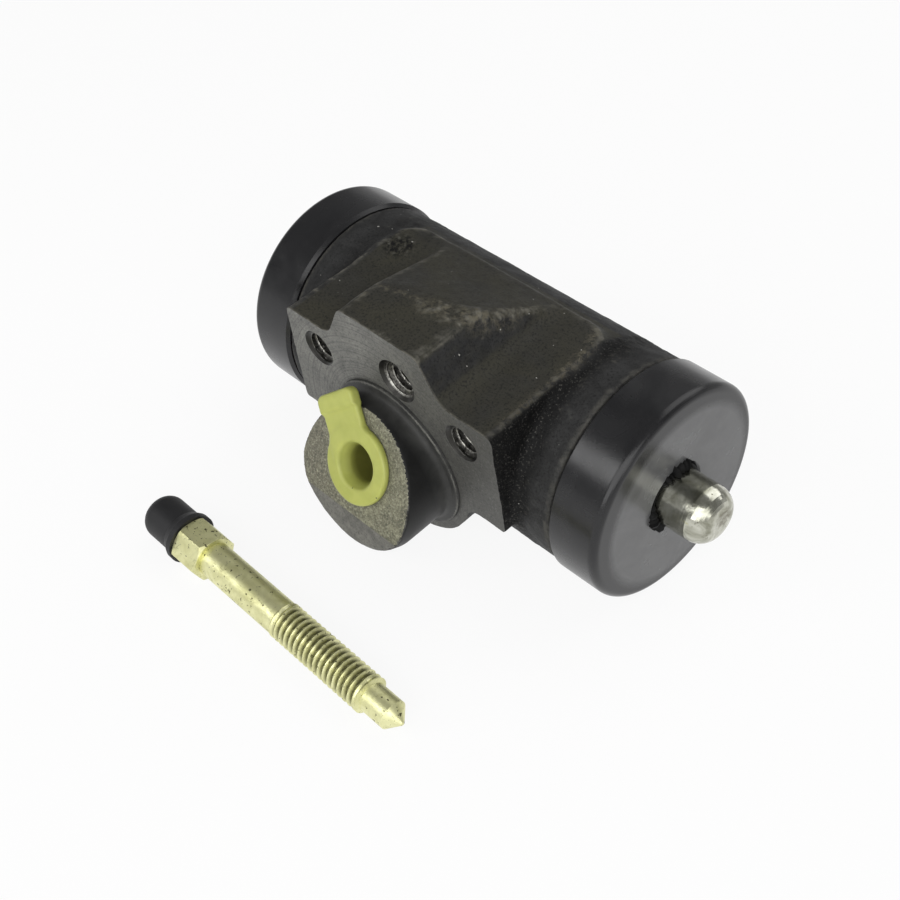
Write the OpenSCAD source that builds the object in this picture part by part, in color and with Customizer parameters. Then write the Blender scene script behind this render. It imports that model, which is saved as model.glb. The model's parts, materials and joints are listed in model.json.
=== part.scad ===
// Double-ended hydraulic wheel cylinder with its bleed screw taken out and laid beside it.
// Millimetres. The bore runs along X, the mounting pad faces -Y and the floor is Z = 0.
// The cylinder rests on its two boots and on the lowest edge of its pad.

/* [Barrel] */
// Diameter of the bore
bore_d = 31.75; // [28:0.05:34]
// Outer diameter of the cast barrel
body_d = 46.2; // [44:0.1:47]
// Length of the cast barrel between the two boot shoulders
body_length = 76.4; // [72:0.1:86]
// Length of each neck
neck_length = 4.4; // [4:0.1:6]
// Width of the groove that holds a boot's bead
groove_w = 2.0; // [1.5:0.1:2.4]
// Depth of that groove
groove_depth = 1.2; // [0.8:0.1:1.6]

/* [Mounting pad] */
// Distance from the bore's axis to the pad's face
pad_distance = 26.7; // [25:0.1:30]
// Width of the pad across its two ears
ear_span = 58.6; // [56:0.1:62]
// How much further each ear reaches at its foot
ear_flare = 1.0; // [0:0.1:2]
// Height of the ears' top above the bore's axis
ear_top = 23.3; // [23:0.1:25]
// Depth of the ears' foot below the bore's axis
ear_foot = 2.9; // [2:0.1:5]
// Height of the bleed tab above the bore's axis
tab_top = 33.0; // [31:0.1:36]
// Width of the flat on top of the bleed tab
tab_flat = 18.0; // [14:0.1:20]
// Lean of the bleed tab's flanks
tab_lean = 28; // [15:1:35]
// Diameter of the round lobe under the pad
lobe_d = 39.4; // [37:0.1:41]
// How far the block reaches behind the bore's axis
block_back = 8.5; // [6:0.1:10]
// Length of the level top of the bleed tab
tab_level = 17.0; // [12:0.1:20]
// Distance between the two bolt holes
bolt_spacing = 41.28; // [39:0.01:43]
// Height of the bolt holes above the bore's axis
bolt_height = 16.5; // [15.5:0.1:17.5]
// Diameter of a bolt hole over its thread
bolt_d = 7.94; // [6:0.01:8.5]
// Depth of a bolt hole
bolt_depth = 13; // [10:0.5:14]

/* [Bleed port] */
// Sideways offset of the bleed hole
bleed_offset = 3.9; // [0:0.1:5]
// Height of the bleed hole above the bore's axis
bleed_height = 22.5; // [21.5:0.1:23.5]
// Diameter of the bleed thread
bleed_d = 7.94; // [6:0.01:8.5]
// Depth of the bleed thread
bleed_depth = 24; // [18:0.5:25]
// Diameter of the countersunk mouth
bleed_mouth_d = 9.8; // [8.8:0.1:10.5]
// Diameter of the hole drilled on through the bleed seat
bleed_seat_d = 2.4; // [1.8:0.1:3]
// Diameter of the hole that joins the bleed seat to the bore
bleed_feed_d = 1.8; // [1.2:0.1:2.2]

/* [Inlet boss] */
// Diameter of the turned pilot that locates in the backing plate
pilot_d = 31.0; // [29:0.1:32]
// Length of the pilot's unbroken stretch
pilot_length = 3.6; // [2.5:0.1:4]
// Width of the raised land round the pilot
land_step = 2.1; // [1.6:0.1:3]
// Height of the land
land_height = 0.8; // [0.4:0.1:1.2]
// How far the boss's flat front stands out of the pad
boss_out = 16.5; // [14.5:0.1:18]
// How far the slanted port face stands out of the pad, on the boss's axis
face_out = 13.0; // [12:0.1:14]
// Upward slant of the port
port_slant = 28; // [24:1:30]
// Height of the port's centre on its face
port_height = 5.2; // [4:0.1:6]
// Sideways offset of the port
port_offset = 0.8; // [0:0.1:1.5]
// Diameter of the cast boss round the port
boss_d = 33.6; // [32.6:0.1:35]
// Diameter of the inlet port
port_d = 11.4; // [9:0.1:12.4]
// Depth of the inlet port
port_depth = 11; // [9.5:0.5:12]
// Diameter of the passage from the port to the bore
port_passage_d = 3.2; // [2:0.1:4]

/* [Boots] */
// How far a boot stands proud of the barrel
boot_step = 0.6; // [0.4:0.1:1.5]
// Thickness of a boot's wall
boot_wall = 2.95; // [2:0.05:3.4]
// Length of a boot from its lip to its end
boot_length = 11.9; // [11:0.1:14]
// Thickness of a boot's end
boot_end = 2.8; // [2:0.1:3.4]
// Radius of a boot's end corner
boot_corner = 1.6; // [1.2:0.1:3]

/* [Pistons] */
// Length of a piston
piston_length = 17; // [15:0.5:18]
// How deep a piston's outer face lies in the bore
piston_inset = 6; // [5.5:0.1:7]
// Depth of the push rod's socket
socket_depth = 9; // [7:0.5:11]
// Length of a piston cup over its lip
cup_length = 9; // [7.5:0.5:10]
// Thickness of a piston cup's base
cup_base = 3.5; // [2.5:0.1:4]
// Thickness of a piston cup's lip at its root
cup_lip = 3.0; // [2:0.1:3.6]
// Sheet thickness of a cup expander
expander_sheet = 0.8; // [0.6:0.1:1.2]

/* [Push rods] */
// Diameter of a push rod
rod_d = 12.4; // [10:0.1:13]
// How far a push rod's straight part stands out of its boot
rod_out = 6.9; // [6:0.1:10]
// Length of a push rod's rounded tip
tip_length = 4.2; // [3:0.1:5]
// Diameter of the flat on the tip
tip_flat_d = 5.0; // [3:0.1:6]

/* [Return spring] */
// Mean diameter of the spring
spring_d = 16; // [14:0.5:18]
// Diameter of the spring's wire
wire_d = 1.6; // [1.2:0.1:2]
// Number of turns
spring_turns = 8; // [6:1:10]

/* [Inlet plug] */
// Width of the plug's flange round the port
flange_lip = 2.6; // [1.8:0.1:3.2]
// Thickness of the flange and the tab
flange_t = 1.7; // [1.2:0.1:2.2]
// Thickness of the plug's wall at its mouth
plug_wall = 0.75; // [0.6:0.05:1.5]
// Depth of the plug's stub in the port
stub_length = 8; // [6:0.5:9]
// Thickness of the closed end of the stub
stub_floor = 1.2; // [0.8:0.1:1.8]
// Width of the pull tab
pull_w = 10.3; // [8:0.1:11]
// Reach of the pull tab from the plug's centre
pull_reach = 15.2; // [13:0.1:17]
// Turn of the pull tab from straight up
pull_turn = 40; // [0:1:60]
// Length of the thicker end of the tab
pull_end = 3.6; // [2.5:0.1:4]

/* [Bleed screw] */
// Size of the hexagon across its flats
hex_af = 9.53; // [9:0.01:9.6]
// Length of the hexagon
hex_length = 7.5; // [6:0.1:9]
// How much the plain shank is turned down below the thread
shank_relief = 0.22; // [0.1:0.01:0.5]
// Length of the plain shank
shank_length = 22.4; // [18:0.1:26]
// Length of the thread
thread_length = 25.2; // [20:0.1:28]
// How much the nose is turned down below the thread
nose_relief = 0.87; // [0.8:0.01:1.2]
// Length of the straight part of the nose
nose_length = 5.8; // [5:0.1:7]
// Length of the seat cone
cone_length = 2.7; // [2:0.1:3.5]
// Diameter of the hose nipple under the cap
nipple_d = 5.4; // [4.8:0.1:5.8]
// Length of the nipple
nipple_length = 9; // [7:0.1:9.5]
// Diameter of the drilled drain
drain_d = 2.2; // [1.6:0.1:2.6]
// How far in front of the bore's axis the screw lies
screw_front = 64.9; // [60:0.1:75]
// Where the screw's hexagon starts, left of the middle
screw_left = 21.1; // [15:0.1:25]

/* [Bleed cap] */
// How far the cap's rim stands proud of the hexagon's flats
cap_step = 0.8; // [0.2:0.05:1.2]
// Thickness of the cap's wall
cap_wall = 2.05; // [1.2:0.05:2.4]
// Thickness of the cap's closed end
cap_end = 2.5; // [2:0.1:3.5]

/* [Hidden] */
$fn = 96;

// Clearances
slide_gap = 0.05;
seat_gap = 0.1;
rod_gap = 0.6;
cut = 1;

// Barrel
bore_r = bore_d / 2;
body_r = body_d / 2;
boot_r = body_r + boot_step;
boot_inner = boot_r - boot_wall;
neck_r = boot_inner - slide_gap;
groove_r = neck_r - groove_depth;
shoulder = body_length / 2;
groove_inset = 1;
groove_start = shoulder + groove_inset;
groove_stop = groove_start + groove_w;
barrel_end = shoulder + neck_length;
barrel_edge = 0.8;
bore_chamfer = 1.0;

// Pad outline
ear_half = ear_span / 2;
ear_corner = 1.4;
tab_corner = 3;
tab_fillet = 4.5;
lobe_r = lobe_d / 2;
notch_r = 5;
notch_x = sqrt(pow(lobe_r + notch_r, 2) - pow(ear_foot + notch_r, 2));
notch_angle = atan2(ear_foot + notch_r, notch_x);
flank_top = tab_top - tab_corner * (1 - sin(tab_lean));
flank_foot = ear_top + tab_fillet * (1 - sin(tab_lean));
flank_x = tab_flat / 2 + tab_corner * cos(tab_lean);
fillet_x = flank_x + (flank_top - flank_foot) * tan(tab_lean) + tab_fillet * cos(tab_lean);
block_corner = 5.5;
block_draft = 1.6;

// Drilled holes
bolt_sink = 0.5;
bleed_sink = (bleed_mouth_d - bleed_d) / 2;
bleed_feed_depth = bleed_depth + 4;
bleed_seat_depth = bleed_depth + 6;
drill_cone = 0.3;

// Inlet boss
pilot_r = pilot_d / 2;
land_r = pilot_r + land_step;
land_edge = 0.2;
land_y = pad_distance + land_height;
pilot_fillet = 1.4;
boss_reach = pad_distance + boss_out;
port_y = pad_distance + face_out - tan(port_slant) * port_height;
port_r = port_d / 2;
port_sink = 0.8;

// Tilt at which a round edge in front of the bore comes down to the floor
function touch(y, r) = asin(boot_r / norm([y, r])) - atan2(r, y);

// Pose on the floor: on the boots and on the edge that touches first
rest_tilt = min(touch(pad_distance, lobe_r), touch(land_y, land_r), touch(boss_reach, pilot_r));

// Boots
boot_gap = 0.2;
boot_lip = shoulder + boot_gap;
boot_stop = boot_lip + boot_length;
boot_edge = 0.7;

// Pistons, cups and expanders
piston_r = bore_r - slide_gap;
piston_out = barrel_end - piston_inset;
piston_in = piston_out - piston_length;
piston_edge = 0.8;
socket_gap = 0.3;
socket_r = rod_d / 2 + socket_gap;
socket_floor = piston_out - socket_depth;
cup_in = piston_in - cup_length;
cup_floor = piston_in - cup_base;
cup_tip = 1.2;
cup_root_r = piston_r - cup_lip;
expander_r = cup_root_r - seat_gap;
expander_inset = 1;
expander_reach = cup_length - cup_base - expander_inset;
expander_flare = (cup_lip - cup_tip) * expander_reach / (cup_length - cup_base);
spring_seat = cup_floor - expander_sheet;
expander_hole_r = 3;

// Push rods
rod_r = rod_d / 2;
rod_stop = boot_stop + rod_out;
rod_hole_r = rod_r + rod_gap;
tip_flat_r = tip_flat_d / 2;
tip_steps = 8;

// Spring
wire_r = wire_d / 2;
spring_half = spring_seat - wire_r;
turn_steps = 20;
wire_sides = 8;
spring_steps = spring_turns * turn_steps;
closed_share = 1 / spring_turns;

// Inlet plug
stub_r = port_r - slide_gap;
stub_draft = 0.4;
mouth_r = stub_r - plug_wall;
mouth_taper = 1.3;
flange_r = port_r + flange_lip;
pull_corner = 1.5;
pull_step = 0.7;

// Bleed screw and cap
hex_corner = hex_af / sqrt(3);
hex_edge = 0.15;
thread_r = bleed_d / 2;
shank_r = thread_r - shank_relief;
nose_r = thread_r - nose_relief;
thread_start = hex_length + shank_length;
thread_stop = thread_start + thread_length;
thread_chamfer = 0.7;
nose_stop = thread_stop + nose_length;
cone_flat_r = 0.4;
nipple_r = nipple_d / 2;
nipple_neck_r = nipple_r - 0.55;
barb_start = 1;
barb_stop = 3;
barb_foot = 4.5;
barb_edge = 0.6;
cross_hole_r = drain_d / 3;
cap_r = hex_af / 2 + cap_step;
cap_inner = nipple_r + slide_gap;
cap_waist = cap_inner + cap_wall;
cap_floor = nipple_length + seat_gap;
cap_length = cap_floor + cap_end;
cap_rim = 1.2;
cap_flare = 1.7;
cap_dome = 3;
screw_droop = atan((cap_r - thread_r) / (thread_stop - thread_chamfer));
screw_height = cap_r * cos(screw_droop);

// Middle of the whole set, from the boots' back to the screw's front
middle_y = (boot_r - screw_front - max(hex_corner, cap_r)) / 2;

// Points of an arc, from one angle to another
function arc(x, y, r, from, to, steps = 12) = [
    for (i = [0 : steps]) let (a = from + (to - from) * i / steps) [x + r * cos(a), y + r * sin(a)]
];

function mirrored(points) = [for (i = [len(points) - 1 : -1 : 0]) [-points[i].x, points[i].y]];

// The bore's frame, set down on the floor
module on_floor() {
    translate([0, -middle_y, boot_r]) rotate([rest_tilt, 0, 0]) children();
}

// A shape turned about Z, laid along X
module along_x() {
    rotate([0, 90, 0]) children();
}

// A drill that enters the pad at a place given by its offset and height
module into_pad(x, z) {
    translate([x, -pad_distance, z]) rotate([-90, 0, 0]) children();
}

// The inlet port's frame: Z points out of the slanted face, Y up along it
module at_port() {
    translate([port_offset, -port_y, port_height]) rotate([90 - port_slant, 0, 0]) children();
}

// The loose screw's frame: Z runs from the hexagon's outer face to the tip
module at_screw() {
    translate([-screw_left, -screw_front - middle_y, screw_height])
        rotate([0, 90 + screw_droop, 0]) children();
}

// One half of the pad's outline, from the top of the tab down to the lobe
half_pad = concat(
    arc(tab_flat / 2, tab_top - tab_corner, tab_corner, 90, tab_lean, 6),
    arc(fillet_x, ear_top + tab_fillet, tab_fillet, 180 + tab_lean, 270, 6),
    arc(ear_half - ear_corner, ear_top - ear_corner, ear_corner, 90, 0, 4),
    [[ear_half + ear_flare, -ear_foot]],
    arc(notch_x, -ear_foot - notch_r, notch_r, 90, 180 - notch_angle, 6),
    arc(0, 0, lobe_r, -notch_angle, -88, 16)
);

module barrel_half_outline() {
    polygon([
        [0, 0], [body_r, 0], [body_r, shoulder - barrel_edge], [body_r - barrel_edge, shoulder],
        [neck_r, shoulder], [neck_r, groove_start], [groove_r, groove_start],
        [groove_r, groove_stop], [neck_r, groove_stop], [neck_r, barrel_end - barrel_edge],
        [neck_r - barrel_edge, barrel_end], [0, barrel_end]
    ]);
}

module barrel() {
    for (side = [0, 1]) mirror([side, 0, 0]) along_x() rotate_extrude() barrel_half_outline();
}

// The cast block behind the pad: the pad's outline run back, with a falling tab and drafted sides
module block() {
    back_half = ear_half - block_draft;
    intersection() {
        translate([0, block_back, 0]) rotate([90, 0, 0])
            linear_extrude(block_back + pad_distance) polygon(concat(half_pad, mirrored(half_pad)));
        rotate([90, 0, 90]) linear_extrude(ear_span + 2 * ear_flare + cut, center = true) polygon([
            [-pad_distance, -lobe_r - cut], [-pad_distance, tab_top],
            [tab_level - pad_distance, tab_top], [block_back, ear_top], [block_back, -lobe_r - cut]
        ]);
        linear_extrude(2 * (tab_top + lobe_r), center = true) polygon(concat(
            [[ear_half + ear_flare, -pad_distance]],
            arc(back_half - block_corner, block_back - block_corner, block_corner, 0, 90, 8),
            arc(block_corner - back_half, block_back - block_corner, block_corner, 90, 180, 8),
            [[-ear_half - ear_flare, -pad_distance]]
        ));
    }
}

// The turned land and pilot, with a fillet between them
module pilot() {
    land_top = land_height + cut;
    translate([0, -pad_distance + cut, 0]) rotate([90, 0, 0]) rotate_extrude() polygon(concat(
        [[0, 0], [land_r, 0], [land_r, land_top - land_edge], [land_r - land_edge, land_top]],
        arc(pilot_r + pilot_fillet, land_top + pilot_fillet, pilot_fillet, 270, 180, 6),
        [[pilot_r, land_top + pilot_length], [0, land_top + pilot_length]]
    ));
}

// The boss's nose: a round boss along the slanted port, turned to the pilot's size and faced
module boss_nose() {
    intersection() {
        translate([0, -land_y, 0]) rotate([90, 0, 0]) cylinder(h = boss_reach - land_y, r = pilot_r);
        at_port() mirror([0, 0, 1]) cylinder(h = boss_reach, r = boss_d / 2);
    }
}

module bore_cut() {
    along_x() cylinder(h = 2 * barrel_end + 2 * cut, r = bore_r, center = true);
    for (side = [0, 1]) mirror([side, 0, 0]) translate([barrel_end - bore_chamfer, 0, 0]) along_x()
        cylinder(h = bore_chamfer + cut, r1 = bore_r, r2 = bore_r + bore_chamfer + cut);
}

// A blind hole with a countersunk mouth and a drilled cone at its end
module blind_hole(d, depth, sink) {
    translate([0, 0, -cut]) cylinder(h = depth + cut, r = d / 2);
    translate([0, 0, depth]) cylinder(h = drill_cone * d, r1 = d / 2, r2 = 0);
    translate([0, 0, -cut]) cylinder(h = sink + cut, r1 = d / 2 + sink + cut, r2 = d / 2);
}

module bleed_cut() {
    into_pad(bleed_offset, bleed_height) {
        blind_hole(bleed_d, bleed_depth, bleed_sink);
        cylinder(h = bleed_seat_depth, r = bleed_seat_d / 2);
    }
    translate([bleed_offset, bleed_feed_depth - pad_distance, 0])
        cylinder(h = bleed_height, r = bleed_feed_d / 2);
}

module port_cut() {
    at_port() mirror([0, 0, 1]) {
        blind_hole(port_d, port_depth, port_sink);
        cylinder(h = port_y, r = port_passage_d / 2);
    }
}

module housing() {
    color("#4b4c4e") on_floor() difference() {
        union() {
            barrel();
            block();
            pilot();
            boss_nose();
        }
        bore_cut();
        for (side = [-1, 1])
            into_pad(side * bolt_spacing / 2, bolt_height) blind_hole(bolt_d, bolt_depth, bolt_sink);
        bleed_cut();
        port_cut();
    }
}

// A rubber cup with a bead inside its lip and a hole for the push rod
module boot() {
    bead_r = groove_r + seat_gap;
    color("#1d1d1f") along_x() rotate_extrude() polygon(concat(
        [
            [boot_inner, boot_lip], [boot_r - boot_edge, boot_lip], [boot_r, boot_lip + boot_edge]
        ],
        arc(boot_r - boot_corner, boot_stop - boot_corner, boot_corner, 0, 90, 8),
        [
            [rod_hole_r + boot_edge, boot_stop], [rod_hole_r, boot_stop - boot_edge],
            [rod_hole_r, boot_stop - boot_end], [boot_inner - boot_corner, boot_stop - boot_end],
            [boot_inner, boot_stop - boot_end - boot_corner],
            [boot_inner, groove_stop - seat_gap], [bead_r, groove_stop - 2 * seat_gap],
            [bead_r, groove_start + 2 * seat_gap], [boot_inner, groove_start + seat_gap]
        ]
    ));
}

module boot_left() { on_floor() mirror([1, 0, 0]) boot(); }
module boot_right() { on_floor() boot(); }

// A straight rod with a ball end in the piston and a rounded tip outside
module push_rod() {
    color("#c9cbc9") along_x() rotate_extrude() polygon(concat(
        arc(0, socket_floor + rod_r, rod_r, -90, 0, 12),
        [for (i = [0 : tip_steps]) let (a = 90 * i / tip_steps) [
            tip_flat_r + (rod_r - tip_flat_r) * cos(a), rod_stop + tip_length * sin(a)
        ]],
        [[0, rod_stop + tip_length]]
    ));
}

module push_rod_left() { on_floor() mirror([1, 0, 0]) push_rod(); }
module push_rod_right() { on_floor() push_rod(); }

// A plain piston with a round-bottomed socket for its push rod
module piston() {
    color("#a9abac") along_x() difference() {
        rotate_extrude() polygon([
            [0, piston_in], [piston_r - piston_edge, piston_in], [piston_r, piston_in + piston_edge],
            [piston_r, piston_out - piston_edge], [piston_r - piston_edge, piston_out], [0, piston_out]
        ]);
        rotate_extrude() polygon(concat(
            arc(0, socket_floor + socket_r, socket_r, -90, 0, 12),
            [[socket_r, piston_out + cut], [0, piston_out + cut]]
        ));
    }
}

module piston_left() { on_floor() mirror([1, 0, 0]) piston(); }
module piston_right() { on_floor() piston(); }

// A rubber cup that seals the bore, its lip towards the pressure side
module piston_cup() {
    color("#232325") along_x() rotate_extrude() polygon([
        [0, piston_in], [piston_r - piston_edge, piston_in], [piston_r, piston_in - cup_base],
        [piston_r, cup_in], [piston_r - cup_tip, cup_in], [cup_root_r, cup_floor], [0, cup_floor]
    ]);
}

module piston_cup_left() { on_floor() mirror([1, 0, 0]) piston_cup(); }
module piston_cup_right() { on_floor() piston_cup(); }

// A pressed steel dish that spreads the cup's lip and seats the spring
module cup_expander() {
    rim_r = expander_r + expander_flare;
    rim_x = cup_floor - expander_reach;
    color("#b4b6b2") along_x() rotate_extrude() polygon([
        [expander_hole_r, cup_floor], [expander_r, cup_floor], [rim_r, rim_x],
        [rim_r - expander_sheet, rim_x], [expander_r - expander_sheet, spring_seat],
        [expander_hole_r, spring_seat]
    ]);
}

module cup_expander_left() { on_floor() mirror([1, 0, 0]) cup_expander(); }
module cup_expander_right() { on_floor() cup_expander(); }

// How far along the spring a turn has climbed: the end turns are closed, the rest even
function climb(share) =
    let (closed = wire_d / (2 * spring_half))
    share < closed_share ? closed * share / closed_share
    : share > 1 - closed_share ? 1 - closed * (1 - share) / closed_share
    : closed + (1 - 2 * closed) * (share - closed_share) / (1 - 2 * closed_share);

module return_spring() {
    points = [
        for (i = [0 : spring_steps], j = [0 : wire_sides - 1])
            let (
                turn = 360 * i / turn_steps,
                around = 360 * j / wire_sides,
                x = spring_half * (2 * climb(i / spring_steps) - 1) + wire_r * sin(around),
                r = spring_d / 2 + wire_r * cos(around)
            )
            [x, r * cos(turn), r * sin(turn)]
    ];
    skin = [
        for (i = [0 : spring_steps - 1], j = [0 : wire_sides - 1])
            let (k = (j + 1) % wire_sides, a = i * wire_sides, b = a + wire_sides)
            [a + j, b + j, b + k, a + k]
    ];
    first = [for (j = [0 : wire_sides - 1]) j];
    last = [for (j = [wire_sides - 1 : -1 : 0]) spring_steps * wire_sides + j];
    color("#8d9092") on_floor() polyhedron(points, concat([first, last], skin));
}

module pull_tab_outline(from) {
    half = pull_w / 2;
    polygon(concat(
        [[-half, from], [half, from]],
        arc(half - pull_corner, pull_reach - pull_corner, pull_corner, 0, 90, 4),
        arc(pull_corner - half, pull_reach - pull_corner, pull_corner, 90, 180, 4)
    ));
}

// A push-in plug with a pull tab, hollow from outside
module inlet_plug() {
    color("#d6d98a") on_floor() at_port() difference() {
        union() {
            cylinder(h = flange_t, r = flange_r);
            mirror([0, 0, 1]) cylinder(h = stub_length, r1 = stub_r, r2 = stub_r - stub_draft);
            rotate([0, 0, pull_turn]) {
                linear_extrude(flange_t) pull_tab_outline(0);
                linear_extrude(flange_t + pull_step) pull_tab_outline(pull_reach - pull_end);
            }
        }
        translate([0, 0, stub_floor - stub_length])
            cylinder(h = stub_length + flange_t, r1 = mouth_r - mouth_taper, r2 = mouth_r);
    }
}

// The hexagon, its corners turned off at both ends
module hexagon() {
    face_r = hex_af / 2 - hex_edge;
    chamfer = (hex_corner - face_r) * tan(30);
    intersection() {
        rotate([0, 0, 30]) cylinder(h = hex_length, r = hex_corner, $fn = 6);
        rotate_extrude() polygon([
            [0, 0], [face_r, 0], [hex_corner, chamfer], [hex_corner, hex_length - chamfer],
            [face_r, hex_length], [0, hex_length]
        ]);
    }
}

// A drilled bleed screw: nipple, hexagon, shank, thread, nose and seat cone
module bleed_screw() {
    color("#b9b283") at_screw() difference() {
        union() {
            translate([0, 0, -nipple_length]) rotate_extrude() polygon([
                [0, 0], [nipple_r - barb_edge, 0], [nipple_r, barb_start], [nipple_r, barb_stop],
                [nipple_neck_r, barb_foot], [nipple_neck_r, nipple_length + cut], [0, nipple_length + cut]
            ]);
            hexagon();
            rotate_extrude() polygon([
                [0, hex_length - cut], [shank_r, hex_length - cut], [shank_r, thread_start],
                [thread_r, thread_start + shank_relief], [thread_r, thread_stop - thread_chamfer],
                [nose_r, thread_stop], [nose_r, nose_stop],
                [cone_flat_r, nose_stop + cone_length], [0, nose_stop + cone_length]
            ]);
        }
        translate([0, 0, -nipple_length - cut])
            cylinder(h = nipple_length + thread_stop + nose_length / 2 + cut, r = drain_d / 2);
        translate([0, 0, thread_stop + nose_length / 2]) rotate([0, 90, 0])
            cylinder(h = thread_r, r = cross_hole_r);
    }
}

// A rubber dust cap that hugs the nipple
module bleed_cap() {
    color("#262628") at_screw() rotate_extrude() polygon(concat(
        arc(cap_waist - cap_dome, cap_dome - cap_length, cap_dome, -90, 0, 8),
        [
            [cap_waist, -cap_rim - cap_flare], [cap_r, -cap_rim], [cap_r, 0], [cap_inner, 0],
            [cap_inner, -cap_floor], [0, -cap_floor], [0, -cap_length]
        ]
    ));
}

housing();
boot_left();
boot_right();
push_rod_left();
push_rod_right();
piston_left();
piston_right();
piston_cup_left();
piston_cup_right();
cup_expander_left();
cup_expander_right();
return_spring();
inlet_plug();
bleed_screw();
bleed_cap();
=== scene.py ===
"""Looks of a double-ended hydraulic wheel cylinder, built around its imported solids.

Shapes are written in millimetres in the cylinder's own frame (bore along X, pad towards -Y)
and set down in the row's frame by TO_ROW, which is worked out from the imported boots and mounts.
"""

import json
import math

import bpy
import numpy as np
from mathutils import Matrix, Vector, noise

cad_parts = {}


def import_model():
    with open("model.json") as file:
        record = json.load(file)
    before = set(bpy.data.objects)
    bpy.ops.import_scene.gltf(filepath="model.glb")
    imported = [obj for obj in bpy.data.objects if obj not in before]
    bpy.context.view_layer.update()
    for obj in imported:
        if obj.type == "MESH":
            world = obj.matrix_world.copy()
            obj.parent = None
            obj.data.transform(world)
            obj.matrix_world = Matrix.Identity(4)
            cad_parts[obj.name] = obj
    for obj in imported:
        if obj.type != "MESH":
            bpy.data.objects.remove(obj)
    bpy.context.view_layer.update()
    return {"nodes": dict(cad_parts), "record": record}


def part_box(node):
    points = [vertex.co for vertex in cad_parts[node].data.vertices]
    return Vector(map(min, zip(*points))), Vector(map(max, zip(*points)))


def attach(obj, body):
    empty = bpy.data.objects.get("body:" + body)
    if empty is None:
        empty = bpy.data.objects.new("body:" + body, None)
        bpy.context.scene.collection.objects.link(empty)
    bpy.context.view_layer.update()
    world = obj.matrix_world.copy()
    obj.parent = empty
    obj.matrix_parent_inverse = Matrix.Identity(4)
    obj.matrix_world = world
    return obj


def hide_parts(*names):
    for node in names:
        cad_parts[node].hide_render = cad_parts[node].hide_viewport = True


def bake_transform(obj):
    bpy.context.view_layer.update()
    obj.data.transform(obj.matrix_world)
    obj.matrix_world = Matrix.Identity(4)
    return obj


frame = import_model()

nodes = frame["nodes"]
mounts = {m["name"]: m for m in frame["record"]["mounts"]}
MM = 0.001

# The cylinder's frame, from the boots' middle and the pad's normal
boot_low, boot_high = (Vector(c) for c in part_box("boot_right"))
BORE_AT = Vector((0, (boot_low.y + boot_high.y) / 2, (boot_low.z + boot_high.z) / 2))
PAD_OUT = Vector(mounts["mounting_holes"]["axis"])
TILT = math.atan2(-PAD_OUT.z, -PAD_OUT.y)
TO_ROW = Matrix.Translation(BORE_AT) @ Matrix.Rotation(TILT, 4, "X") @ Matrix.Diagonal((MM, MM, MM, 1))
FROM_ROW = TO_ROW.inverted()
AS_IT_IS = Matrix.Identity(4)

# Sizes of the casting, in millimetres
BODY_R = 23.1
SHOULDER = 38.2
NECK_R = 20.7
BARREL_END = 42.6
BORE_R = 15.875
BORE_CHAMFER = 1.0
PAD = 26.7
EAR_HALF = 29.3
EAR_FLARE = 1.0
EAR_TOP = 23.3
EAR_FOOT = 2.9
EAR_CORNER = 1.4
TAB_TOP = 33.0
TAB_HALF = 9.0
TAB_LEAN = 28.0
TAB_CORNER = 3.0
TAB_FILLET = 4.5
TAB_LEVEL = 12.4
TAB_SKEW = 0.25
TAB_FOOT = 14.0
LOBE_R = 19.7
NOTCH_R = 5.0
BLOCK_BACK = 8.5
BLOCK_CORNER = 5.5
BLOCK_DRAFT = 1.6

# Sizes of the boss and the ports
PILOT_R = 15.5
PILOT_FRONT = 31.1
PILOT_FILLET = 1.4
LAND_R = 17.6
LAND_HEIGHT = 0.8
BOSS_FRONT = 43.2
BOSS_R = 16.9
BOSS_DROP = 1.4
PORT_SLANT = 28.0
FRONT_EDGE = -4.3
FRONT_SLANT = 10.0
PORT_R = mounts["inlet_port"]["dims"]["r_mm"]
PORT_DEPTH = mounts["inlet_port"]["dims"]["length_mm"]
PASSAGE_R = 1.6

# The 5/16-18 thread of the holes and the bleed screw
THREAD_R = mounts["bleed_port"]["dims"]["r_mm"]
THREAD_PITCH = 25.4 / 18
THREAD_DEPTH = 0.85
BOLT_DEPTH = 13.0
BLEED_DEPTH = 24.0
BOLT_SINK = 0.2
BLEED_SINK = 0.93
DRILL_R = 3.3
THREAD_SIDES = 96

# Sizes of the loose bleed screw
SCREW_LEFT = -21.1
HEX_AF = 9.53
CAP_R = HEX_AF / 2 + 0.8
HEX = 7.5
SHANK = 22.4
SHANK_R = 3.75
THREAD = 25.2
THREAD_END = 0.7
NOSE = 5.8
NOSE_R = 3.1
CONE = 2.7
CONE_FLAT = 0.4
NIPPLE = 9.0
NIPPLE_R = 2.15
DRAIN_R = 1.1
CROSS_R = DRAIN_R * 2 / 3
HEX_CHAMFER = 0.55

# Half of the return spring: radius of its wire, turns, mean radius, and the share of turns that are open
SPRING_WIRE = 0.8
SPRING_TURNS = 4
SPRING_R = 8.0
SPRING_OPEN = 0.75

# Sizes of the plug, and of its cup as (height, radius) from the floor to the mouth
FLANGE_R = 8.3
FLANGE = 1.7
STUB = 8.0
STUB_R = 5.65
STUB_DRAFT = 0.4
PULL_WIDE = 10.3
PULL_REACH = 15.2
PULL_TURN = 40
PULL_END = 3.6
PULL_STEP = 0.7
PULL_CORNER = 1.5
CUP = [(-6.8, 3.7), (-1.0, 4.0), (1.7, 4.9)]
PLUG_STEP = 0.28
PLUG_EDGE = 0.7

# The torn rubber round the push rods, its flaps at angles in degrees
LIP_R = 6.27
LIP_HOLE = 6.85
LIP_FLAP = 1.0
LIP_RISE = 1.1
LIP_FLAPS = (290, 176)
LIP_SPREAD = 0.7

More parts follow.
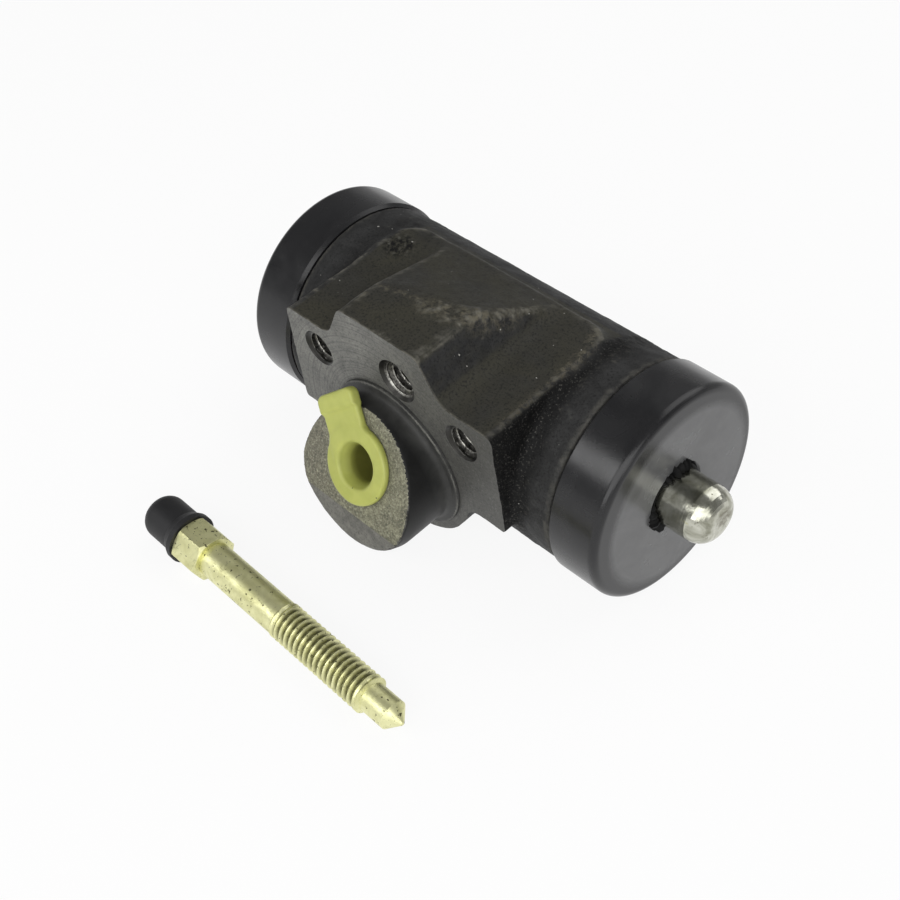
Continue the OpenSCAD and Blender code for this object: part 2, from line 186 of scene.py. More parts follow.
# The pale end of a boot, partly a real bloom and partly painted sheen, by its middle beside the bore's axis
# and the radii where it starts and is full, and a brown stain on the right push rod's tip
PALE_END_AT = Vector((0, 1.4, -1.1))
PALE_END_R = (21.2, 19.0)
ROD_STAIN = (60.8, 0.6, 1.0)

# Worn lines on the block, in the cylinder's frame: the crest's torn end and left half, the ear's edge, the
# hip, and a pitted spot
CREST_LUMPS = [(3, -14.5, 33), (9.5, -12.5, 32.5), (13, -8.5, 31), (15.5, -3.5, 29.2)]
CREST_LEFT = [(-9, -16.6, 33), (-2, -14.8, 33), (4, -13.3, 33)]
EAR_EDGE = [(28.8, -22, 23.3), (28.3, -10, 23.3), (27.4, 2, 23.3), (25, 7.5, 23.3)]
LEFT_HIP = [(-10, -22, 33), (-10.8, -15.5, 32.6), (-12.8, -9, 30.5)]
PITTED = (-24.0, 0.5, 23.3)
WORN = [(CREST_LUMPS, 4.0), (CREST_LEFT, 1.3), (EAR_EDGE, 1.8), (LEFT_HIP, 0.9)]

# Grain of the cast skin, in waves of (size, height): lumps, sand, and the torn end of the crest
LUMPS = [(5.0, 0.09), (2.2, 0.06)]
SAND = [(1.2, 0.045)]
TORN = [(2.6, 0.55), (1.3, 0.3)]
TORN_REACH = 4.5

# The sandy step beside the block, coarser and darkened with painted shade: where it starts and ends along the
# bore, and its share of both on the left
STEP_START = 27.2
STEP_END = 34.0
STEP_LEFT = 0.45

# The block's top with its olive skin, and where along the bore the worn edges give way to a fainter painted
# highlight on the barrel's shoulder, and its share there
TOP_HALF = 27.5
TOP_FROM = 20.0
EDGE_WEAR_END = 35.0
SHOULDER_HIGHLIGHT_SHARE = 0.3

# How finely the casting and the boss are sampled, the room left round them, and how soft their edges are
CAST_STEP = 0.55
CAST_ROOM = 1.2
CAST_EDGE = 1.2
CAST_FILLET = 2.6
CAST_SAMPLE_FRONT = 3.0
BOSS_STEP = 0.4
BOSS_EDGE = 0.5

# How near to the port face or the blunt front a face has to lie to get its finish
FACE_NEAR = 0.3


# Meshes

def new_object(name, verts, faces, place=TO_ROW):
    """A mesh object whose points are given in millimetres in the frame that place sets down."""
    mesh = bpy.data.meshes.new(name)
    mesh.from_pydata([tuple(v) for v in verts], [], [list(f) for f in faces])
    mesh.transform(place)
    mesh.update()
    obj = bpy.data.objects.new(name, mesh)
    bpy.context.scene.collection.objects.link(obj)
    return obj


def turned(rows, segments, ring=False):
    """A closed skin turned about Z. A row is (height, radius), each one number or one for each step round.

    The rows start and end on the axis, or with ring they close on themselves round a hole.
    """
    angle = np.arange(segments) * math.tau / segments
    verts, faces, loops = [], [], []
    for height, radius in rows:
        start = len(verts)
        if np.ndim(radius) == 0 and radius < 1e-9:
            verts.append((0, 0, height))
            loops.append([start] * segments)
            continue
        rise = np.broadcast_to(height, angle.shape)
        verts += list(zip(radius * np.cos(angle), radius * np.sin(angle), rise))
        loops.append(list(range(start, start + segments)))
    for low, high in zip(loops, loops[1:] + loops[:1] if ring else loops[1:]):
        for k in range(segments):
            j = (k + 1) % segments
            face = list(dict.fromkeys((low[k], low[j], high[j], high[k])))
            if len(face) > 2:
                faces.append(face)
    return verts, faces


def arc(x, y, r, start, stop, steps=8):
    """Points of an arc between two angles in degrees."""
    angles = [math.radians(start + (stop - start) * i / steps) for i in range(steps + 1)]
    return [(x + r * math.cos(a), y + r * math.sin(a)) for a in angles]


def threaded(start, stop, radius, fade=1.0, samples=12):
    """Rows of a threaded stretch: the radius falls from its crest by the thread's depth once a pitch."""
    rows = []
    angle = np.arange(THREAD_SIDES) / THREAD_SIDES
    count = max(2, round((stop - start) / THREAD_PITCH * samples))
    for i in range(count + 1):
        height = start + (stop - start) * i / count
        phase = (height / THREAD_PITCH - angle) % 1
        groove = np.clip(np.abs(2 * phase - 1) * 1.25 - 0.12, 0, 1)
        run = min(1, (height - start) / (fade * THREAD_PITCH), (stop - height) / (fade * THREAD_PITCH))
        rows.append((height, radius - THREAD_DEPTH * max(0, run) * groove))
    return rows


def combine(base, other, operation):
    """Joins, cuts or crosses two closed meshes and keeps the result in base."""
    change = base.modifiers.new("combine", "BOOLEAN")
    change.solver = "MANIFOLD"
    change.operation = operation
    change.object = other
    shape = base.evaluated_get(bpy.context.evaluated_depsgraph_get())
    result = bpy.data.meshes.new_from_object(shape)
    base.modifiers.clear()
    base.data = result
    bpy.data.objects.remove(other)
    return base


def polygon_distance(points, u, v):
    """Signed distance from each (u, v) to a closed outline, negative inside it."""
    best = np.full(u.shape, np.inf)
    inside = np.zeros(u.shape, bool)
    for (ax, ay), (bx, by) in zip(points, points[1:] + points[:1]):
        ex, ey = bx - ax, by - ay
        t = np.clip(((u - ax) * ex + (v - ay) * ey) / (ex * ex + ey * ey), 0, 1)
        best = np.minimum(best, np.hypot(u - ax - t * ex, v - ay - t * ey))
        crosses = (ay > v) != (by > v)
        inside ^= crosses & (u < ax + (v - ay) * ex / (ey if ey else 1))
    return np.where(inside, -best, best)


def soft_min(a, b, reach):
    """The lesser of two distances, blended where they differ by less than reach."""
    h = np.clip(0.5 + 0.5 * (b - a) / reach, 0, 1)
    return b + (a - b) * h - reach * h * (1 - h)


def soft_max(a, b, reach):
    """The greater of two distances, blended in the same way."""
    return -soft_min(-a, -b, reach)


def skin_of(field, origin, step):
    """Points and quads of the surface where a sampled field changes sign, one point to a mixed cell."""
    inside = field < 0
    size = np.array(field.shape) - 1
    corner = [(i, j, k) for i in (0, 1) for j in (0, 1) for k in (0, 1)]

    def at(grid, c):
        return grid[c[0]:c[0] + size[0], c[1]:c[1] + size[1], c[2]:c[2] + size[2]]

    count = sum(at(inside, c).astype(np.int8) for c in corner)
    mixed = (count > 0) & (count < 8)
    index = np.full(mixed.shape, -1)
    index[mixed] = np.arange(mixed.sum())
    total = np.zeros((mixed.sum(), 3))
    hits = np.zeros(mixed.sum())
    for a in corner:
        for axis in range(3):
            if a[axis]:
                continue
            b = tuple(1 if n == axis else a[n] for n in range(3))
            fa, fb = at(field, a)[mixed], at(field, b)[mixed]
            cross = (fa < 0) != (fb < 0)
            t = np.where(cross, fa / np.where(cross, fa - fb, 1), 0)
            spot = np.array(a, float) + t[:, None] * (np.array(b) - np.array(a))
            total += spot * cross[:, None]
            hits += cross
    verts = origin + step * (np.argwhere(mixed) + total / hits[:, None])
    faces = []
    for axis in range(3):
        u, v = (axis + 1) % 3, (axis + 2) % 3
        first = np.moveaxis(inside, (axis, u, v), (0, 1, 2))
        cells = np.moveaxis(index, (axis, u, v), (0, 1, 2))
        start, end = first[:-1, 1:-1, 1:-1], first[1:, 1:-1, 1:-1]
        quad = np.stack([cells[:, :-1, :-1], cells[:, 1:, :-1], cells[:, 1:, 1:], cells[:, :-1, 1:]], -1)
        faces.append(quad[start & ~end])
        faces.append(quad[~start & end][:, ::-1])
    return verts, np.concatenate(faces)


def smooth(obj, angle):
    """Smooth shading, broken where faces meet at more than the angle in degrees."""
    obj.data.shade_smooth()
    obj.data.set_sharp_from_angle(angle=math.radians(angle))


def mark(mesh, name, values):
    """Keeps one number for each point, for a material to read."""
    mesh.attributes.new(name, "FLOAT", "POINT").data.foreach_set("value", values.astype(np.float32))


def swell(mesh, rounds):
    """How far each point stands out from its neighbours over some rounds: positive on ridges."""
    count = len(mesh.vertices)
    spot = np.empty(count * 3)
    out = np.empty(count * 3)
    mesh.vertices.foreach_get("co", spot)
    mesh.vertex_normals.foreach_get("vector", out)
    spot, out = spot.reshape(-1, 3), out.reshape(-1, 3)
    edges = np.empty(len(mesh.edges) * 2, int)
    mesh.edges.foreach_get("vertices", edges)
    edges = edges.reshape(-1, 2)
    ends = np.concatenate([edges[:, 0], edges[:, 1]])
    others = np.concatenate([edges[:, 1], edges[:, 0]])
    degree = np.maximum(np.bincount(ends, minlength=count), 1)

    def mean(values):
        sums = [np.bincount(ends, column[others], count) for column in values.T]
        return np.stack(sums, 1) / degree[:, None]

    low = spot.copy()
    for _ in range(rounds):
        low = 0.5 * low + 0.5 * mean(low)
    return np.einsum("ij,ij->i", spot - low, out)


# Materials

def grey(value):
    return (value, value, value)


class Look:
    """A node material that is built up step by step from the object's own coordinates."""

    def __init__(self, name):
        self.material = bpy.data.materials.new(name)
        self.material.use_nodes = True
        self.tree = self.material.node_tree
        self.shader = self.tree.nodes["Principled BSDF"]
        self.spot = self.add("ShaderNodeTexCoord").outputs["Object"]

    def add(self, kind, values=None, **settings):
        made = self.tree.nodes.new(kind)
        for name, value in settings.items():
            setattr(made, name, value)
        for name, value in (values or {}).items():
            self.put(made.inputs[name], value)
        return made

    def put(self, socket, value):
        if isinstance(value, bpy.types.NodeSocket):
            self.tree.links.new(value, socket)
        else:
            socket.default_value = value

    def surface(self, **values):
        for name, value in values.items():
            self.put(self.shader.inputs[name.replace("_", " ")], value)

    def noise(self, size_mm, detail=4.0, rough=0.6, distortion=0.0):
        """Noise between 0 and 1 whose features are about size_mm across."""
        made = self.add("ShaderNodeTexNoise", {
            "Vector": self.spot, "Scale": 1 / (size_mm * MM), "Detail": detail,
            "Roughness": rough, "Distortion": distortion,
        })
        return made.outputs["Fac"]

    def lines(self, value, pitch_mm):
        """Noise along one measure, in metres: turned rings or drawn streaks about pitch_mm apart."""
        made = self.add("ShaderNodeTexNoise", {
            "W": value, "Scale": 1 / (pitch_mm * MM), "Detail": 3.0,
        }, noise_dimensions="1D")
        return made.outputs["Fac"]

    def cells(self, size_mm):
        made = self.add("ShaderNodeTexVoronoi", {"Vector": self.spot, "Scale": 1 / (size_mm * MM)})
        return made.outputs["Distance"]

    def ramp(self, value, *stops):
        """Numbers or colours by steps of (position, number or colour)."""
        made = self.add("ShaderNodeValToRGB", {"Fac": value})
        band = made.color_ramp.elements
        while len(band) < len(stops):
            band.new(0.5)
        for point, (position, colour) in zip(band, stops):
            point.position = position
            point.color = (colour,) * 3 + (1,) if np.ndim(colour) == 0 else (*colour, 1)
        return made.outputs["Color"]

    def mix(self, share, a, b):
        def colour(c):
            return (*c, 1) if isinstance(c, tuple) else c
        made = self.add("ShaderNodeMixRGB", {"Fac": share, "Color1": colour(a), "Color2": colour(b)})
        return made.outputs["Color"]

    def between(self, value, low, high, dark, light):
        """One colour where a value is low, another where it is high."""
        return self.mix(self.ramp(value, (low, 0), (high, 1)), dark, light)

    def math(self, operation, a, b=0.0, clamp=False):
        made = self.add("ShaderNodeMath", operation=operation, use_clamp=clamp)
        self.put(made.inputs[0], a)
        self.put(made.inputs[1], b)
        return made.outputs[0]

    def times(self, a, b):
        return self.math("MULTIPLY", a, b)

    def vector(self, operation, a, b, output="Vector"):
        return self.add("ShaderNodeVectorMath", {0: a, 1: b}, operation=operation).outputs[output]

    def part_spot(self):
        """The same places in the cylinder's frame, still in metres."""
        turn = Matrix.Rotation(-TILT, 3, "X")
        made = self.add("ShaderNodeMapping", {
            "Vector": self.spot, "Rotation": (-TILT, 0, 0), "Location": tuple(-(turn @ BORE_AT)),
        })
        return made.outputs["Vector"]

    def along(self, direction, start=(0, 0, 0)):
        """How far a place lies along a direction from a start, in metres in the row's frame."""
        away = self.vector("SUBTRACT", self.spot, tuple(start))
        return self.vector("DOT_PRODUCT", away, tuple(direction), "Value")

    def span(self, value, low_mm, high_mm):
        """0 at a measure's low end and 1 at its high end, both in millimetres."""
        made = self.add("ShaderNodeMapRange", {
            "Value": value, "From Min": low_mm * MM, "From Max": high_mm * MM,
        })
        return made.outputs["Result"]

    def attribute(self, name):
        return self.add("ShaderNodeAttribute", attribute_name=name).outputs["Fac"]

    def near(self, centre, reach):
        """A soft spot: 1 at a place in the cylinder's frame, 0 beyond its reach, both in millimetres."""
        away = self.vector("DISTANCE", self.spot, tuple(TO_ROW @ Vector(centre)), "Value")
        return self.span(away, reach, 0)

    def bump(self, height, depth_mm, strength=1.0, under=None):
        made = self.add("ShaderNodeBump", {"Height": height, "Distance": depth_mm * MM, "Strength": strength})
        if under:
            self.put(made.inputs["Normal"], under)
        return made.outputs["Normal"]


def cast_look():
    """Black phosphated cast iron: olive on top, the sandy steps darkened with painted shade and flecked with
    painted glints, edges worn in places, with painted glints on a pitted spot and a faint painted highlight
    on the barrel's shoulder edge.
    """
    look = Look("cast_skin")
    grain = look.noise(0.5, 5, 0.7)
    blotch = look.noise(5, 4, 0.65, 0.8)
    ground = look.between(blotch, 0.35, 0.65, grey(0.021), grey(0.033))
    top = look.times(look.attribute("top"), look.ramp(look.noise(14, 3, 0.55, 0.4), (0.3, 0.35), (0.6, 1)))
    ground = look.mix(top, ground, (0.04, 0.038, 0.028))
    ground = look.mix(look.ramp(grain, (0.36, 0.75), (0.5, 0)), ground, grey(0.01))
    pitted = look.ramp(look.near(PITTED, 5), (0.15, 0), (0.5, 1))
    pits = look.noise(1.3, 4, 0.7)
    # painted glints on the rims of the pits in the pitted spot
    pit_rim_glints = look.times(pitted, look.ramp(pits, (0.56, 0), (0.66, 0.6)))
    ground = look.mix(pit_rim_glints, ground, (0.1, 0.098, 0.088))
    floors = look.times(pitted, look.ramp(pits, (0.44, 1), (0.54, 0)))
    ground = look.mix(floors, ground, grey(0.004))
    # paler ridges: edge wear on the block, a faint painted highlight on the barrel's shoulder edge
    patch = look.ramp(look.noise(3.2, 5, 0.75, 0.6), (0.4, 0.15), (0.56, 1))
    ground = look.mix(look.times(look.attribute("ridge"), patch), ground, (0.15, 0.143, 0.12))
    scuff = look.ramp(look.noise(1.2, 5, 0.75, 0.4), (0.46, 0), (0.62, 1))
    ground = look.mix(look.times(look.attribute("worn"), scuff), ground, (0.12, 0.108, 0.078))
    # the step is darkened with painted shade, then flecked with painted glints
    step = look.attribute("step")
    ground = look.mix(step, ground, grey(0.004))
    step_glint = look.ramp(look.noise(0.38, 2, 0.5), (0.58, 0), (0.7, 1))
    ground = look.mix(look.times(step, step_glint), ground, (0.055, 0.053, 0.048))
    chip = look.ramp(look.noise(0.8, 1, 0.4), (0.8, 0), (0.82, 1))
    ground = look.mix(chip, ground, (0.4, 0.39, 0.36))
    look.surface(Base_Color=ground, Metallic=0.0, Specular_IOR_Level=0.15)
    look.surface(Roughness=look.ramp(blotch, (0.3, 0.66), (0.75, 0.52)))
    fine = look.bump(grain, 0.16, 0.55)
    hollows = look.ramp(look.cells(0.9), (0.0, 0), (0.32, 1))
    look.surface(Normal=look.bump(hollows, 0.12, look.math("ADD", 0.12, step), under=fine))
    return look.material


def pad_look():
    """A turned iron face: grey with faint rings round the pilot, stains and pits, and painted shade that
    darkens it to the right.
    """
    look = Look("pad_turned")
    part = look.part_spot()
    flat = look.vector("MULTIPLY", part, (1, 0, 1))
    rings = look.lines(look.vector("LENGTH", flat, (0, 0, 0), "Value"), 0.5)
    fine = look.noise(0.45, 5, 0.75)
    stain = look.noise(5, 4, 0.65, 1.0)
    ground = look.between(stain, 0.35, 0.68, (0.1, 0.1, 0.09), (0.185, 0.183, 0.163))
    # painted shade: the face darkens towards the right
    shade = look.span(look.along((1, 0, 0)), -8, 24)
    ground = look.mix(look.times(shade, 0.8), ground, (0.047, 0.046, 0.042))
    ground = look.mix(look.ramp(rings, (0.38, 0.5), (0.54, 0)), ground, (0.052, 0.052, 0.048))
    ground = look.mix(look.ramp(fine, (0.36, 0.8), (0.47, 0)), ground, (0.03, 0.03, 0.028))
    ground = look.mix(look.ramp(fine, (0.58, 0), (0.72, 0.5)), ground, (0.26, 0.26, 0.24))
    look.surface(Base_Color=ground, Metallic=0.2, Roughness=look.ramp(fine, (0.3, 0.6), (0.7, 0.46)))
    look.surface(Normal=look.bump(look.mix(0.5, rings, fine), 0.03, 0.5))
    return look.material


def boss_look():
    """Turned iron: the pilot and the land grey, the nose dark, with fine rings and a thin painted highlight
    in patches on the edges.
    """
    look = Look("boss_turned")
    stain = look.noise(5, 4, 0.6, 0.6)
    out = look.along(tuple(PAD_OUT), tuple(BORE_AT))
    rings = look.lines(out, 0.3)
    pilot = look.between(stain, 0.35, 0.7, (0.025, 0.025, 0.024), (0.045, 0.045, 0.042))
    nose = look.between(stain, 0.35, 0.7, grey(0.005), grey(0.011))
    ground = look.mix(look.span(out, PILOT_FRONT - 2.5, PILOT_FRONT + 0.5), pilot, nose)
    ground = look.mix(look.times(rings, 0.1), ground, (0.05, 0.05, 0.047))
    # a thin painted highlight on the boss's edges, broken into patches by noise
    worn = look.ramp(look.noise(4, 3, 0.6), (0.4, 0.1), (0.6, 1))
    edge_highlight = look.ramp(look.attribute("ridge"), (0.75, 0), (1, 0.45))
    ground = look.mix(look.times(edge_highlight, worn), ground, (0.24, 0.237, 0.21))
    look.surface(Base_Color=ground, Metallic=0.0, Specular_IOR_Level=0.2)
    look.surface(Roughness=look.ramp(stain, (0.3, 0.42), (0.7, 0.52)))
    look.surface(Normal=look.bump(rings, 0.015, 0.5))
    return look.material


def face_look():
    """The slanted port face: sandy pale grey with dark pits and bright grains, browner to the left."""
    look = Look("port_face")
    sand = look.noise(0.5, 5, 0.8)
    coarse = look.noise(2.6, 4, 0.7)
    ground = look.between(coarse, 0.35, 0.65, (0.125, 0.121, 0.083), (0.225, 0.221, 0.15))
    left = look.span(look.along((1, 0, 0)), 4, -12)
    ground = look.mix(look.times(left, 0.6), ground, (0.14, 0.13, 0.1))
    ground = look.mix(look.ramp(sand, (0.36, 0.9), (0.5, 0)), ground, (0.05, 0.049, 0.04))
    ground = look.mix(look.ramp(sand, (0.52, 0), (0.7, 0.8)), ground, (0.44, 0.435, 0.33))
    look.surface(Base_Color=ground, Metallic=0.1, Roughness=0.62)
    look.surface(Normal=look.bump(look.mix(0.4, sand, coarse), 0.14, 0.6))
    return look.material


def front_look():
    """The blunt front below the port: a smoother, stained grey."""
    look = Look("boss_front")
    fine = look.noise(0.6, 5, 0.7)
    stain = look.noise(4, 4, 0.65, 0.8)
    ground = look.between(stain, 0.35, 0.68, (0.1, 0.098, 0.087), (0.19, 0.186, 0.165))
    ground = look.mix(look.ramp(fine, (0.36, 0.8), (0.5, 0)), ground, (0.05, 0.048, 0.042))
    look.surface(Base_Color=ground, Metallic=0.1, Roughness=0.58)
    look.surface(Normal=look.bump(fine, 0.08, 0.5))
    return look.material


def thread_look():
    """Cut thread in the iron: dark, with oil at the mouth and a painted highlight on the crests."""
    look = Look("thread_cut")
    fine = look.noise(0.5, 3, 0.6)
    ground = look.ramp(fine, (0.35, (0.03, 0.029, 0.026)), (0.7, (0.16, 0.155, 0.14)))
    deep = look.span(look.along(tuple(PAD_OUT), tuple(BORE_AT)), PAD - 0.6, PAD - 1.0)
    ground = look.mix(deep, (0.035, 0.034, 0.031), ground)
    # a painted highlight on the thread's crests, below the mouth
    crest = look.times(look.attribute("ridge"), look.ramp(fine, (0.35, 0.2), (0.6, 1)))
    ground = look.mix(look.times(deep, crest), ground, (0.6, 0.59, 0.54))
    look.surface(Base_Color=ground, Metallic=0.8, Roughness=0.34)
    look.surface(Normal=look.bump(fine, 0.02, 0.4))
    return look.material


def boot_look(name, end_mm, rough=0.2):
    """Moulded black rubber with a soft sheen, specks of dirt and a pale end inside the rim, partly a real
    bloom and partly painted sheen.
    """
    look = Look(name)
    cloud = look.noise(9, 4, 0.6, 0.6)
    fine = look.noise(0.5, 4, 0.7)
    ground = look.between(cloud, 0.3, 0.75, (0.008, 0.008, 0.009), (0.016, 0.016, 0.017))
    away = look.vector("SUBTRACT", look.spot, tuple(BORE_AT + PALE_END_AT * MM))
    across = look.vector("LENGTH", look.vector("MULTIPLY", away, (0, 1, 1)), (0, 0, 0), "Value")
    reach = look.math("ABSOLUTE", look.along((1, 0, 0)))
    # the pale end face is partly a real bloom and partly painted sheen, kept off the rounded rim
    end = look.times(look.span(reach, end_mm - 0.15, end_mm), look.span(across, *PALE_END_R))
    bloom_and_sheen = look.times(end, look.ramp(cloud, (0.25, 0.6), (0.7, 1)))
    ground = look.mix(bloom_and_sheen, ground, (0.117, 0.118, 0.119))
    spots = look.ramp(look.noise(0.9, 1, 0.4), (0.19, 1), (0.21, 0))
    ground = look.mix(spots, ground, grey(0.003))
    look.surface(Base_Color=ground, Specular_IOR_Level=0.4)
    look.surface(Roughness=look.ramp(cloud, (0.3, rough), (0.7, rough + 0.1)))
    look.surface(Normal=look.bump(fine, 0.02, 0.25))
    return look.material


def zinc_look(name, dark, light, speck, rough, dirt=0.33):
    """Zinc-plated steel: cloudy plating, turned rings, slight dents, dark grooves, specks and streaks."""
    look = Look(name)
    cloud = look.noise(3.5, 4, 0.6, 0.8)
    rings = look.lines(look.along((1, 0, 0)), 0.35)
    ground = look.between(cloud, 0.32, 0.7, dark, light)
    spots = look.ramp(look.noise(0.8, 3, 0.55), (dirt - 0.05, 1), (dirt, 0))
    ground = look.mix(look.times(spots, 0.9), ground, speck)
    ground = look.mix(look.attribute("groove"), ground, tuple(0.36 * c for c in dark))
    smear = look.ramp(look.noise(2.6, 4, 0.7, 1.2), (0.6, 0), (0.72, 0.55))
    ground = look.mix(smear, ground, tuple(0.45 * c for c in dark))
    tip = look.ramp(look.near(ROD_STAIN, 4), (0.3, 0), (0.6, 1))
    tip = look.times(tip, look.ramp(look.noise(1.6, 3, 0.6, 0.8), (0.4, 0.9), (0.6, 0.25)))
    ground = look.mix(tip, ground, (0.09, 0.075, 0.035))
    look.surface(Base_Color=ground, Metallic=1.0)
    look.surface(Roughness=look.ramp(cloud, (0.3, rough + 0.1), (0.7, rough)))
    dents = look.bump(look.noise(2.4, 2, 0.5), 0.12, 0.5)
    look.surface(Normal=look.bump(rings, 0.012, 0.45, under=dents))
    return look.material


def plug_look():
    """Soft yellow plastic, olive down the cup with painted shade, with specks of dirt."""
    look = Look("plug_plastic")
    cloud = look.noise(4, 3, 0.5)
    ground = look.between(cloud, 0.35, 0.7, (0.38, 0.405, 0.095), (0.44, 0.465, 0.117))
    port = mounts["inlet_port"]
    depth = look.along(port["axis"], port["pos_m"])
    away = look.vector("DISTANCE", look.spot, tuple(port["pos_m"]), "Value")
    squared = look.math("SUBTRACT", look.times(away, away), look.times(depth, depth), clamp=True)
    across = look.math("SQRT", squared)
    # painted shade: olive darkening down the cup below its flare
    cup_shade = look.times(look.span(depth, CUP[1][0] + 1.5, CUP[1][0] - 1.5), look.span(across, 5.3, 5.0))
    ground = look.mix(cup_shade, ground, (0.13, 0.13, 0.025))
    spots = look.ramp(look.noise(0.8, 1, 0.4), (0.19, 1), (0.21, 0))
    ground = look.mix(spots, ground, (0.03, 0.025, 0.015))
    look.surface(Base_Color=ground, Roughness=0.45, Subsurface_Weight=0.12, Subsurface_Scale=0.0015)
    look.shader.inputs["Subsurface Radius"].default_value = (1.0, 0.9, 0.3)
    look.surface(Normal=look.bump(look.noise(0.8, 3, 0.6), 0.02, 0.3))
    return look.material


def inner_look(name, dark, light, metallic, rough, shine=0.5):
    """A plain machined or moulded finish for small pieces and those inside the bore."""
    look = Look(name)
    cloud = look.noise(2.5, 4, 0.6)
    look.surface(Base_Color=look.ramp(cloud, (0.3, dark), (0.7, light)), Metallic=metallic, Roughness=rough)
    look.surface(Specular_IOR_Level=shine, Normal=look.bump(look.noise(0.3, 3, 0.6), 0.015, 0.4))
    return look.material


# The casting

def pad_outline():
    """The pad's outline in (x, z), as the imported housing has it."""
    lean = math.radians(TAB_LEAN)
    flank_top = TAB_TOP - TAB_CORNER * (1 - math.sin(lean))
    flank_foot = EAR_TOP + TAB_FILLET * (1 - math.sin(lean))
    flank_x = TAB_HALF + TAB_CORNER * math.cos(lean)
    fillet_x = flank_x + (flank_top - flank_foot) * math.tan(lean) + TAB_FILLET * math.cos(lean)
    notch_x = math.sqrt((LOBE_R + NOTCH_R) ** 2 - (EAR_FOOT + NOTCH_R) ** 2)
    notch = math.degrees(math.atan2(EAR_FOOT + NOTCH_R, notch_x))
    half = arc(TAB_HALF, TAB_TOP - TAB_CORNER, TAB_CORNER, 90, TAB_LEAN)
    half += arc(fillet_x, EAR_TOP + TAB_FILLET, TAB_FILLET, 180 + TAB_LEAN, 270)
    half += arc(EAR_HALF - EAR_CORNER, EAR_TOP - EAR_CORNER, EAR_CORNER, 90, 0)
    half += [(EAR_HALF + EAR_FLARE, -EAR_FOOT)]
    half += arc(notch_x, -EAR_FOOT - NOTCH_R, NOTCH_R, 90, 180 - notch)
    half += arc(0, 0, LOBE_R, -notch, -88, 20)
    return half + [(-x, z) for x, z in reversed(half)]


def plan_outline():
    """The block's outline from above, in (x, y), run on in front of the pad."""
    back_half = EAR_HALF - BLOCK_DRAFT
    front = EAR_HALF + EAR_FLARE
    corner = arc(back_half - BLOCK_CORNER, BLOCK_BACK - BLOCK_CORNER, BLOCK_CORNER, 0, 90)
    half = [(front, -PAD - 2 * CAST_SAMPLE_FRONT), (front, -PAD)] + corner
    return half + [(-x, y) for x, y in reversed(half)]


def block_top(x, y, z):
    """Distance above the block's top: level from the pad to a skewed crest, then falling to the back."""
    crest = TAB_LEVEL - PAD + TAB_SKEW * np.clip(x, -TAB_FOOT, TAB_FOOT)
    fall = (TAB_TOP - EAR_TOP) / (BLOCK_BACK - crest)
    roof = (z - TAB_TOP + fall * (y - crest)) / np.hypot(1, fall)
    return soft_max(z - TAB_TOP, roof, CAST_EDGE)


def cast_body():
    """The casting's rough skin, blended where the block meets the barrel and rounded at its edges."""
    low = np.array([-BARREL_END, -PAD - CAST_SAMPLE_FRONT, -BODY_R]) - CAST_ROOM
    high = np.array([BARREL_END, BODY_R, TAB_TOP]) + CAST_ROOM
    x, y, z = (np.arange(a, b, CAST_STEP) for a, b in zip(low, high))
    reach = np.hypot(y[:, None], z[None, :])
    along = np.abs(x)[:, None, None]
    barrel = soft_max(reach[None] - BODY_R, along - SHOULDER, CAST_EDGE / 2)
    neck = np.maximum(reach[None] - NECK_R, along - BARREL_END)
    front = polygon_distance(pad_outline(), *np.meshgrid(x, z, indexing="ij"))[:, None, :]
    plan = polygon_distance(plan_outline(), *np.meshgrid(x, y, indexing="ij"))[:, :, None]
    top = block_top(x[:, None, None], y[None, :, None], z[None, None, :])
    block = soft_max(soft_max(front, top, CAST_EDGE), plan, CAST_EDGE)
    block = np.maximum(block, -PAD - CAST_SAMPLE_FRONT - y[None, :, None])
    body = soft_min(barrel, block, CAST_FILLET)
    verts, faces = skin_of(np.minimum(body, neck), low, CAST_STEP)
    return new_object("housing_cast", verts, faces, AS_IT_IS)


def roughen(obj):
    """Pushes the cast skin in and out by its grain."""
    mesh = obj.data
    moved = [v.co + v.normal * grain_at(v.co) for v in mesh.vertices]
    mesh.vertices.foreach_set("co", [c for p in moved for c in p])
    mesh.update()


def line_share(p, points, reach):
    """1 on a line through some points, falling to 0 beyond its reach."""
    best = reach
    for a, b in zip(points, points[1:]):
        a, b = Vector(a), Vector(b)
        t = min(max((p - a).dot(b - a) / (b - a).length_squared, 0), 1)
        best = min(best, (p - a - (b - a) * t).length)
    return 1 - best / reach


def rise(value, reach):
    """0 for a value of nothing or less, 1 from its reach on."""
    return min(max(value / reach, 0), 1)


def step_share(p):
    """1 on the sandy step between the block and the barrel, less on the left-hand side: it sets the step's
    coarser sand and its painted shade.
    """
    side = abs(p.x)
    share = rise(side - STEP_START, 1.0) * rise(STEP_END - side, 3.5) * rise(EAR_TOP + 0.4 - p.z, 0.8)
    return share * (1 if p.x > 0 else STEP_LEFT)


def waves(p, sizes):
    """Noise at a place, added up over waves of (size, height)."""
    return sum(noise.noise(p / size) * height for size, height in sizes)


def grain_at(p):
    """How far the cast skin stands out at a place, in millimetres: not where the boots sit or it rests."""
    if abs(p.x) > SHOULDER - 0.5 or p.z < 1.5 - LOBE_R:
        return 0.0
    sand = waves(p, SAND) * (1 + 3 * step_share(p))
    return waves(p, LUMPS) + sand + waves(p, TORN) * line_share(p, CREST_LUMPS, TORN_REACH)


def box_object(name, low, high):
    """A plain block between two corners."""
    corners = [(x, y, z) for x in (low[0], high[0]) for y in (low[1], high[1]) for z in (low[2], high[2])]
    faces = [(0, 1, 3, 2), (4, 6, 7, 5), (0, 4, 5, 1), (2, 3, 7, 6), (0, 2, 6, 4), (1, 5, 7, 3)]
    return new_object(name, corners, faces, AS_IT_IS)


